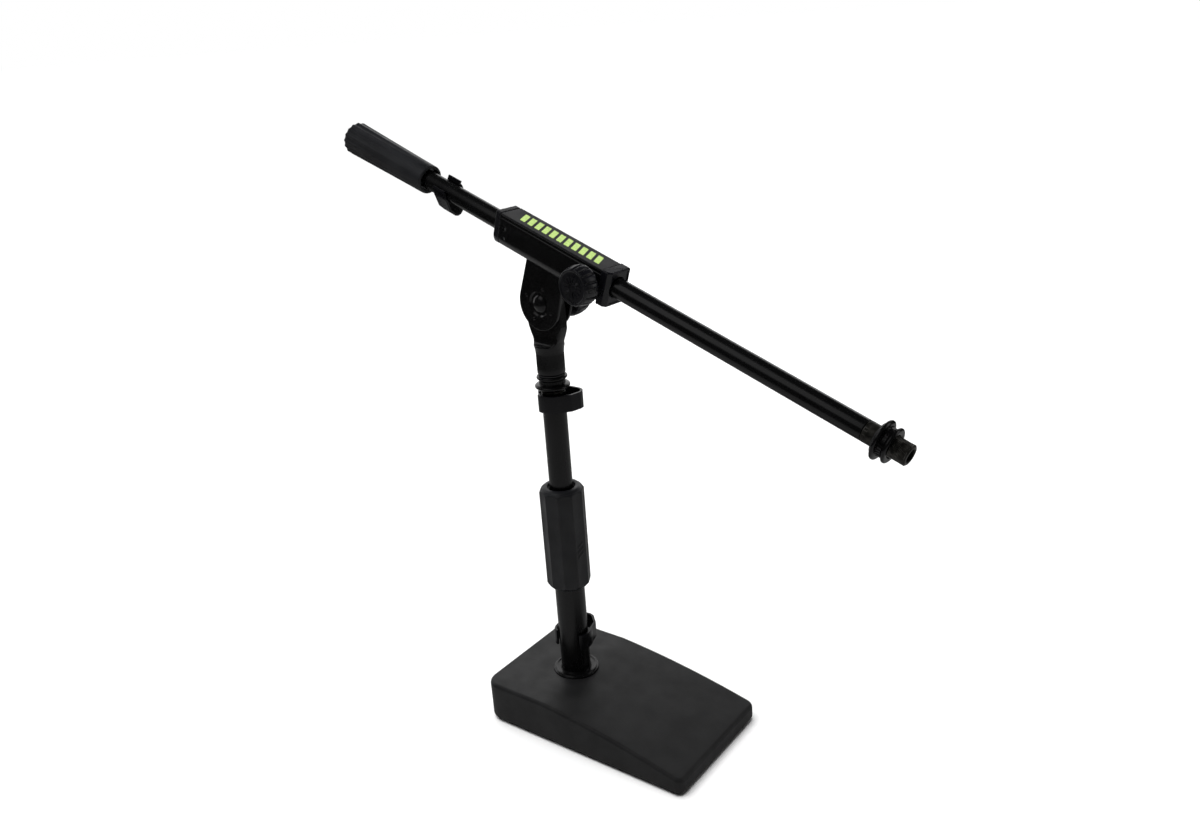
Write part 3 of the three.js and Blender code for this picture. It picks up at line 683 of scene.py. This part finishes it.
def neck_limits(height):
    """Round radius, half-width and half-depth of the neck at a height over the floor."""
    pivot, crown, tongue = PIVOT.z / MM, NECK_SIZES["crown"], NECK_SIZES["tongue_half"]
    flare = [(330, 11.9), (350, 11.9), (354, 12.6), (359, 14.4), (364, 17.4), (371, 20.8), (420, 20.8)]
    side = [(330, 13), (352, 13.2), (359, 15.6), (364, 17.6), (371, 19.6), (386, crown), (pivot, crown)]
    width = follow(side, height)
    if height > pivot:
        width = math.sqrt(max(0.4, crown ** 2 - (height - pivot) ** 2))
    scoop, scoop_top = NECK_SIZES["scoop"], NECK_SIZES["scoop_top"]
    depth = NECK_SIZES["half_depth"]
    if height > scoop_top:
        depth = tongue
    elif height > scoop_top - scoop:
        rise = math.sqrt(scoop ** 2 - (scoop_top - height) ** 2)
        depth = tongue + scoop - rise
    return follow(flare, height), width, depth


def neck_heights(low, pivot):
    """Heights of the neck's rings, close together in the scoop and round the crown."""
    scoop = NECK_SIZES["scoop"]
    scoop_low, straight_from = NECK_SIZES["scoop_top"] - scoop, 364
    heights = [low, low + 0.15, low + 0.5, low + 1, 336, 342, 348, 351, 353.5]
    heights += [scoop_low + scoop * (1 - math.cos(0.5 * math.pi * k / 16)) for k in range(17)]
    heights += [straight_from + (pivot - straight_from) * k / 12 for k in range(13)]
    heights += [pivot + NECK_SIZES["crown"] * math.sin(0.5 * math.pi * k / 20) for k in range(1, 21)]
    return heights


def make_neck():
    """Round foot that opens into a flat tongue, lofted through rings of one smooth section."""
    pivot, low = PIVOT.z / MM, NECK_SIZES["foot"]
    top = pivot + NECK_SIZES["crown"]
    rings = []
    for height in neck_heights(low, pivot):
        radius, width, depth = neck_limits(min(height, top))
        chamfer = max(0.0, 0.8 - (height - low) * 0.8)
        ring = []
        for k in range(128):
            angle = 2 * math.pi * k / 128
            x, y = min(width, radius) * math.cos(angle), min(depth, radius) * math.sin(angle)
            length = math.hypot(x, y)
            x, y = x / length, y / length
            reach = softest(radius, width / max(abs(x), 1e-3), depth / max(abs(y), 1e-3)) - chamfer
            ring.append((x * reach, y * reach, height - pivot))
        rings.append(ring)
    neck = loft("neck", rings)
    bore = rod(NECK_SIZES["bore"], -70, NECK_SIZES["bore_to"] - pivot)
    cuts = [bore, lay(rod(BOLT_HOLE, -20, 20), ALONG_Y)]
    place(combine(neck, cuts), "swivel_neck", "satin_black_metal", NECK, sharp=40)


# ---------------------------------------------------------------- clamp housing

def housing_section(grow, low, high, chamfer):
    """Section across the housing, counterclockwise in the plane that sweep_along() turns along X."""
    half = HOUSING["half"] + grow
    corners = [(-half, low + 1.7 * chamfer, 2.6), (chamfer - half, low, 0.9), (half - chamfer, low, 0.9),
               (half, low + 1.7 * chamfer, 2.6), (half, high, 1.5), (-half, high, 1.5)]
    return soften([(-z, y, *rest) for y, z, *rest in corners])


def sweep_along(name, section, x0, x1, edge):
    """Solid along X from a section drawn as (-z, y)."""
    return lay(slab(name, section, x0, x1, edge), ALONG_X)


def ear_plate(y0, y1):
    """Hanging plate with a round lower end, rounded all round its faces."""
    radius, top = EAR["radius"], EAR["top"]
    arc = [math.pi * (1 + k / 40) for k in range(41)]
    outline = [Vector((radius * math.cos(a), radius * math.sin(a))) for a in arc]
    # The straight sides begin a hair inside the ends of the arc.
    hair, inside_body = 0.02, 38
    outline[0].x, outline[-1].x = -radius + hair, radius - hair
    outline += [Vector((top, inside_body)), Vector((-top, inside_body))]
    return lay(slab("ear", outline, -y1, -y0, 0.7, steps=4), STAND_UP)


def polar(radius, degrees):
    return radius * math.cos(math.radians(degrees)), radius * math.sin(math.radians(degrees))


def near_side_tool(profile, x, z):
    """Round cutter or boss on the housing's near side, from corners (radius, distance from the middle)."""
    tool = turned("tool", profile, hollow=False, segments=64)
    return lay(tool, Matrix.Translation((x, 0, z)) @ STAND_UP)


def make_housing():
    """Body with rail, boss and ears, then holes for liner, tube, screw, bolt and pins, then the studs."""
    x0, x1 = HOUSING["from"], HOUSING["to"]
    section = housing_section(0, HOUSING["low"], HOUSING["high"], HOUSING["chamfer"])
    body = sweep_along("body", section, x0, x1, 0.3)
    top, bottom, half = HOUSING["cover_from"] - 0.3, 50, HOUSING["half"] - 0.9
    rail = sweep_along("rail", soften([(-bottom, -half), (-bottom, half), (-top, half), (-top, -half)]),
                       x0, x1, 0.15)
    radius, face = BOSS["radius"], BOSS["face"]
    boss = near_side_tool([(0.3, 5), (radius, 5), (radius, face, 0.6), (0.3, face)], CLAMP_X, CLAMP_Z)
    ears = [ear_plate(-EAR["outer"], -EAR["inner"]), ear_plate(EAR["inner"], EAR["outer"])]
    combine(body, [rail, boss, *ears], "UNION")
    rise = Matrix.Translation((0, 0, BOOM_RISE))
    liner_radius, liner_to, tube_hole = 9.9, 41, BOOM_TUBE["radius"] + 0.65
    screw_hole = [(0.3, 3), (5.9, 3), (5.9, 13), (6.8, 13), (6.8, 20), (0.3, 20)]
    bolt_dish = [(0.3, 6.9), (9.4, 6.9), (10.9, 8.3), (10.9, 12), (0.3, 12)]
    pin_hole = [(0.3, 9.4), (1.8, 9.4), (1.8, 11), (2.3, 11.5), (2.3, 15), (0.3, 15)]
    stud = [(0.2, 7.6), (1.5, 7.6), (1.5, 8.3, 0.2), (1, 8.75, 0.3), (0.2, 8.85)]
    cuts = [
        lay(rod(liner_radius, -70, liner_to), rise @ ALONG_X),
        lay(rod(tube_hole, 30, 80), rise @ ALONG_X),
        lay(rod(BOLT_HOLE, -30, 30), ALONG_Y),
        near_side_tool(screw_hole, CLAMP_X, CLAMP_Z),
        near_side_tool(bolt_dish, 0, 0),
    ]
    cuts += [near_side_tool(pin_hole, PIN_X, BOOM_RISE + drop) for drop in PIN_DROPS.values()]
    combine(body, cuts)
    quarters = [EAR_STUDS["first"] + 90 * k for k in range(4)]
    studs = [near_side_tool(stud, *polar(EAR_STUDS["circle"], degrees)) for degrees in quarters]
    place(combine(body, studs, "UNION"), "clamp_housing", "satin_black_metal", HEAD)


def make_cover():
    half = HOUSING["half"]
    plan = rounded_plan(HOUSING["from"], HOUSING["to"], -half, half, 1, 1, step=12)
    cover = slab("cover", plan, HOUSING["cover_from"], HOUSING["cover"], 0.55, steps=4)
    place(cover, "housing_cover", "cover_black", HEAD)
    make_cover_print()


def make_cover_print():
    """Row of equal slanted stripes printed on the cover."""
    stripes = []
    width, lean, half = STRIPES["width"], STRIPES["lean"], STRIPES["half"]
    low, high = HOUSING["cover"] - STRIPES["sunk"], HOUSING["cover"] + STRIPES["proud"]
    for k in range(STRIPES["count"]):
        x = STRIPES["first"] + STRIPES["spacing"] * k
        outline = [(x + lean, -half), (x + width + lean, -half), (x + width - lean, half), (x - lean, half)]
        outline = soften([(*corner, 0.5) for corner in outline])
        stripes.append(slab("stripe", outline, low, high, 0.03, steps=2))
    stripe = combine(stripes[0], stripes[1:], "UNION")
    stripe.data.transform(Matrix.Scale(MM, 4))
    stripe.name = "cover_stripes"
    stripe.data.materials.clear()
    stripe.data.materials.append(PRINT_INK)
    stripe.matrix_world = HEAD
    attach(stripe, BODY_OF["housing_cover"])


def mouth_tool(x0, x1, mouth):
    """Cutter for the tube's hole through a cap, flared to the two mouth radii."""
    profile = [(mouth[0], x0 - 5), (mouth[0], x0 + 0.01), (8.5, x0 + mouth[0] - 8.5),
               (8.5, x1 - mouth[1] + 8.5), (mouth[1], x1 - 0.01), (mouth[1], x1 + 5)]
    return lay(turned("mouth", profile, hollow=False), Matrix.Translation((0, 0, BOOM_RISE)) @ ALONG_X)


def make_rear_cap():
    x1 = HOUSING["from"] - 0.3
    x0 = x1 - 5.7
    section = housing_section(0.1, HOUSING["low"] - 0.1, HOUSING["cover"] + 0.1, HOUSING["chamfer"])
    body = sweep_along("cap", section, x0, x1, 0.8)
    place(combine(body, [mouth_tool(x0, x1, (9.3, 8.7))]), "rear_cap", "black_plastic", HEAD)


def make_front_cap():
    """Cap whose near upright edge is cut off, with a shallow framed recess in its front face."""
    x0, x1 = HOUSING["to"] + 0.3, HOUSING["to"] + 9.6
    side, cut = HOUSING["half"] + 0.7, 3
    low, high = HOUSING["low"] - 0.7, HOUSING["cover"] + 0.7
    plan = soften([(x0, -side, 0.3), (x1 - cut, -side, 0.6), (x1, cut - side, 0.6), (x1, side, 1),
                   (x0, side, 0.3)])
    body = slab("cap", plan, low, high, 1.2, steps=4)
    recess = soften([(4.6 - side, low + 2, 1.5), (side - 1.6, low + 2, 1.5),
                     (side - 1.6, high - 2, 1.5), (4.6 - side, high - 2, 1.5)])
    recess = sweep_along("recess", [Vector((-p.y, p.x)) for p in recess], x1 - 0.7, x1 + 2, 0.1)
    place(combine(body, [recess, mouth_tool(x0, x1, (8.7, 9.6))]), "front_cap", "black_plastic", HEAD)


def make_small_head_parts():
    """Domed bolt in the near ear's dish, and the two pins near the rear cap."""
    dome = [(0.2, 10.4), (3.2, 10.1, 1.2), (5.9, 9, 1.4), (7.5, 7.5, 0.4), (7.5, 7.2)]
    shank = [(4, 7.2), (4, -30), (0.2, -30)]
    bolt = near_side_tool(dome + shank, 0, 0)
    place(bolt, "pivot_bolt", "satin_black_metal", HEAD)
    for node, drop in PIN_DROPS.items():
        pin = near_side_tool([(0.2, 9.7), (1.5, 9.7), (1.5, 10.4, 0.3), (0.2, 10.5)], PIN_X, BOOM_RISE + drop)
        place(pin, node, "zinc_steel", HEAD)


# ---------------------------------------------------------------- hand knobs

def knob(radius, back, face, hub, hub_from, bore, bore_to, grooves):
    """Hand knob along Z: a hub, a barrel with narrow grooves, and a nearly flat face with a ring of ribs."""
    rim, rib_count = radius - 2.2, 14
    low, high = back + 2.2, face - 1.2
    groove_low, groove_high = back + 0.6, face - 0.4

    def shape(angle, r, height):
        if r < rim or not groove_low < height < groove_high:
            return r
        across = abs((angle * grooves / (2 * math.pi)) % 1 - 0.5) * 2
        groove = max(0.0, 1 - (across / 0.34) ** 2)
        ends = min(1.0, (height - groove_low) / 1.6, (groove_high - height) / 1.6)
        return r - 1.1 * groove * max(0.0, ends)

    body = turned("knob", [
        (bore, bore_to), (bore, hub_from, 0.3), (hub, hub_from, 0.5), (hub, back, 0.4),
        (radius - 1.8, back, 1.2), (radius, low, 1.6), (radius - 0.1, 0.5 * (low + high), 2.5),
        (radius - 1.3, high, 1.2), (rim, face, 0.7), (rim - 1, face, 0.4), (rim - 1.6, face - 0.5, 0.4),
        (rim * 0.7, face - 0.4, 0.4), (0.3, face - 0.2), (0.3, bore_to),
    ], shape=shape, step=0.45, segments=grooves * 14)
    ribs = []
    start, end = 0.24 * rim, 0.64 * rim
    for k in range(rib_count):
        outline = soften([(start, -0.4, 0.3), (end, -1.1, 0.4), (end, 1.1, 0.4), (start, 0.4, 0.3)])
        rib = slab("rib", outline, face - 1, face + 0.25, 0.2, steps=2)
        ribs.append(lay(rib, Matrix.Rotation(2 * math.pi * k / rib_count, 4, "Z")))
    return combine(body, ribs, "UNION")


def make_knobs():
    small = knob(radius=16, back=16.6, face=31, hub=9, hub_from=15.6, bore=4.3, bore_to=24.3, grooves=16)
    place(small, "clamp_knob", "black_plastic", CLAMP_AXIS, sharp=60)
    large = knob(radius=18.4, back=23, face=38, hub=11, hub_from=11.9, bore=7.3, bore_to=33, grooves=18)
    place(large, "pivot_knob", "black_plastic", PIVOT_AXIS, sharp=60)


# ---------------------------------------------------------------- counterweight

def weight_shape(angle, radius, height):
    """Shallow flutes that fade towards the near end."""
    if radius < 11:
        return radius
    along = (height - WEIGHT["from"]) / (WEIGHT["to"] - WEIGHT["from"])
    depth = WEIGHT["flute"] * max(0.0, 1 - along / 0.93)
    ridge = (0.5 + 0.5 * math.cos(WEIGHT["flutes"] * angle)) ** 2
    return radius - depth * (1 - ridge)


def make_counterweight():
    """Tapered sleeve, closed at its far end and open for the boom tube at its near end."""
    x0, x1, far, near = (WEIGHT[key] for key in ("from", "to", "far", "near"))
    mouth = 10.2

    def radius(x):
        return far + (near - far) * (x - x0) / (x1 - x0)

    sleeve = turned("sleeve", [
        (0.3, x0), (far - 1.6, x0, 1.4), (far, x0 + 1.8, 1.2), (radius(x0 + 10), x0 + 10),
        (radius(x1 - 6), x1 - 6, 0.5), (near, x1 - 0.8, 0.8), (near - 0.9, x1, 0.6), (mouth, x1, 0.5),
        (mouth, x1 - 5), (radius(x1 - 5) - 1.4, x1 - 5), (radius(x0 + 4) - 2.2, x0 + 4), (0.3, x0 + 4),
    ], shape=weight_shape, step=1.0, segments=192)
    place(sleeve, "counterweight_sleeve", "grip_rubber", BOOM_AXIS, sharp=50)


# ---------------------------------------------------------------- cable clips

CLIP_SHAPES = {
    "lower_cable_clip": {"ring": 15.4, "arc": range(118, 60, -6), "tip": polar(13.9, 129), "reach": 28.5},
    "mid_cable_clip": {"ring": 12.6, "arc": range(152, 60, -6), "tip": polar(10.8, 163), "reach": 25},
    "boom_cable_clip": {"ring": 8.25, "arc": range(130, 70, -9), "tip": (-8.4, 8.9), "reach": 23},
}


def clip_outline(shape):
    """Closed outline of the band, one wall thick: tip, ring round the tube and cable loop on +X."""
    ring, end = shape["ring"], shape["reach"] - CLIP["wall"]
    half = [shape["tip"], *(polar(ring, degrees) for degrees in shape["arc"])]
    half += [(0.62 * end, 0.8 * ring), (end - 1.4, 0.34 * ring), (end, 0.12 * ring)]
    line = [Vector(p) for p in half + [(x, -y) for x, y in reversed(half)]]
    outer = []
    for i, here in enumerate(line):
        edge = line[min(i + 1, len(line) - 1)] - line[max(i - 1, 0)]
        outer.append(here + Vector((-edge.y, edge.x)).normalized() * CLIP["wall"])
    return soften([(p.x, p.y, 0.7) for p in line + outer[::-1]])


def make_clip(node, x_axis, z_axis, joint):
    half = CLIP["width"] / 2
    band = slab("band", clip_outline(CLIP_SHAPES[node]), -half, half, 0.3, steps=2)
    matrix = set_axes(Vector(JOINTS[joint]["pos_m"]), x_axis, z_axis)
    place(band, node, "black_plastic", matrix, sharp=50, look="clip_plastic")


def make_clips():
    """Clips whose cable loops point along a heading, or on the boom hang down at a roll from the head."""
    make_clip("lower_cable_clip", Vector((*polar(1, CLIP_HEADINGS["lower"]), 0)), UP, "lower_clip_turn")
    make_clip("mid_cable_clip", Vector((*polar(1, CLIP_HEADINGS["mid"]), 0)), UP, "mid_clip_turn")
    roll = math.radians(CLIP_HEADINGS["boom"])
    hang = HEAD.col[1].to_3d() * math.sin(roll) - HEAD.col[2].to_3d() * math.cos(roll)
    make_clip("boom_cable_clip", hang, ALONG, "boom_clip_turn")


# ---------------------------------------------------------------- inner parts, studio and camera

def finish_inner_parts():
    """CAD nodes that keep their own mesh get the material of their kind."""
    slots = {
        "base_bolt": "zinc_steel", "base_washer": "zinc_steel", "tube_foot_plug": "zinc_steel",
        "clamp_nut": "brass", "pivot_knob_nut": "brass", "clamp_screw": "zinc_steel",
        "counterweight_core": "zinc_steel", "counterweight_slug": "zinc_steel",
    }
    for node, piece in frame["nodes"].items():
        if piece.hide_render:
            continue
        slot = slots.get(node, "black_nylon")
        piece.data.materials.clear()
        piece.data.materials.append(MATERIALS[slot])


def make_floor():
    """Wide white floor that gloss doesn't see, and under the stand a smaller one that only gloss sees."""
    for name, radius, height, white, for_gloss in FLOORS:
        centre = (MIDDLE[0], MIDDLE[1], height)
        bpy.ops.mesh.primitive_circle_add(vertices=96, radius=radius, fill_type="NGON", location=centre)
        disc = bpy.context.object
        disc.name = name
        material, tree, shader = start_material(f"{name}_white", specular=0.1)
        tone = spread(tree, noise(tree, 3, 2), 0, 1)
        colour = blend_colours(tree, tone, (white,) * 3, (white + 0.02,) * 3)
        tree.links.new(colour, shader.inputs["Base Color"])
        shader.inputs["Roughness"].default_value = 0.9
        disc.data.materials.append(material)
        disc.visible_glossy = for_gloss
        disc.visible_camera = disc.visible_diffuse = disc.visible_shadow = not for_gloss


def make_world():
    """White to the camera, dim to everything else, as a dark studio in front of a lit white background."""
    world = bpy.data.worlds.new("studio")
    bpy.context.scene.world = world
    world.use_nodes = True
    tree = world.node_tree
    shown = tree.nodes["Background"]
    shown.inputs["Color"].default_value = (1, 1, 1, 1)
    lighting = tree.nodes.new("ShaderNodeBackground")
    lighting.inputs["Color"].default_value = (1, 1, 1, 1)
    lighting.inputs["Strength"].default_value = STUDIO_GLOW
    path = tree.nodes.new("ShaderNodeLightPath")
    mix = tree.nodes.new("ShaderNodeMixShader")
    tree.links.new(path.outputs["Is Camera Ray"], mix.inputs["Fac"])
    tree.links.new(lighting.outputs["Background"], mix.inputs[1])
    tree.links.new(shown.outputs["Background"], mix.inputs[2])
    tree.links.new(mix.outputs["Shader"], tree.nodes["World Output"].inputs["Surface"])


def softbox(name, at, size, radiance):
    """Soft rectangular lamp that faces the middle of the stand."""
    light = bpy.data.lights.new(name, "AREA")
    light.shape = "RECTANGLE"
    light.size, light.size_y = size
    light.energy = radiance * math.pi * size[0] * size[1]
    lamp = bpy.data.objects.new(name, light)
    lamp.location = at
    lamp.rotation_euler = (Vector(MIDDLE) - Vector(at)).to_track_quat("-Z", "Y").to_euler()
    lamp.visible_camera = False
    bpy.context.scene.collection.objects.link(lamp)


def make_lights():
    """Ceiling light for the floor and the flat tones; softboxes for the shine of the black parts."""
    sun = bpy.data.lights.new("ceiling", "SUN")
    sun.energy = CEILING["strength"]
    sun.angle = math.radians(CEILING["spread"])
    lamp = bpy.data.objects.new("ceiling", sun)
    lamp.rotation_euler = (*(math.radians(degrees) for degrees in CEILING["turn"]), 0)
    lamp.visible_glossy = False
    bpy.context.scene.collection.objects.link(lamp)
    for name, at, size, radiance in SOFTBOXES:
        softbox(name, at, size, radiance)


def make_camera():
    """Camera at the photograph's place: it faces its heading, dips and then rolls a little."""
    heading, dip, roll = (math.radians(CAMERA[key]) for key in ("heading", "dip", "roll"))
    ahead = Vector((math.cos(heading) * math.cos(dip), math.sin(heading) * math.cos(dip), -math.sin(dip)))
    right = Vector((math.sin(heading), -math.cos(heading), 0))
    up = right.cross(ahead)
    turned_right = right * math.cos(roll) + up * math.sin(roll)
    turned_up = up * math.cos(roll) - right * math.sin(roll)
    camera = bpy.data.objects.new("camera", bpy.data.cameras.new("camera"))
    camera.data.lens = LENS_MM
    camera.data.sensor_width = SENSOR_MM
    camera.data.clip_start, camera.data.clip_end = 0.05, 100
    axes = Matrix((turned_right, turned_up, -ahead)).transposed().to_4x4()
    camera.matrix_world = Matrix.Translation(CAMERA["at"]) @ axes
    bpy.context.scene.collection.objects.link(camera)
    bpy.context.scene.camera = camera


MATERIALS = make_materials()
PRINT_INK = print_ink()
bpy.context.scene.view_settings.view_transform = "Standard"

make_camera()
make_world()
make_lights()
make_floor()
make_base_casting()
make_base_pad()
make_base_collar()
make_tubes()
make_column_stud()
make_boom_stud()
make_lock_nuts()
make_washers()
make_clutch_grip()
make_neck()
make_housing()
make_cover()
make_rear_cap()
make_front_cap()
make_small_head_parts()
make_knobs()
make_counterweight()
make_clips()
finish_inner_parts()
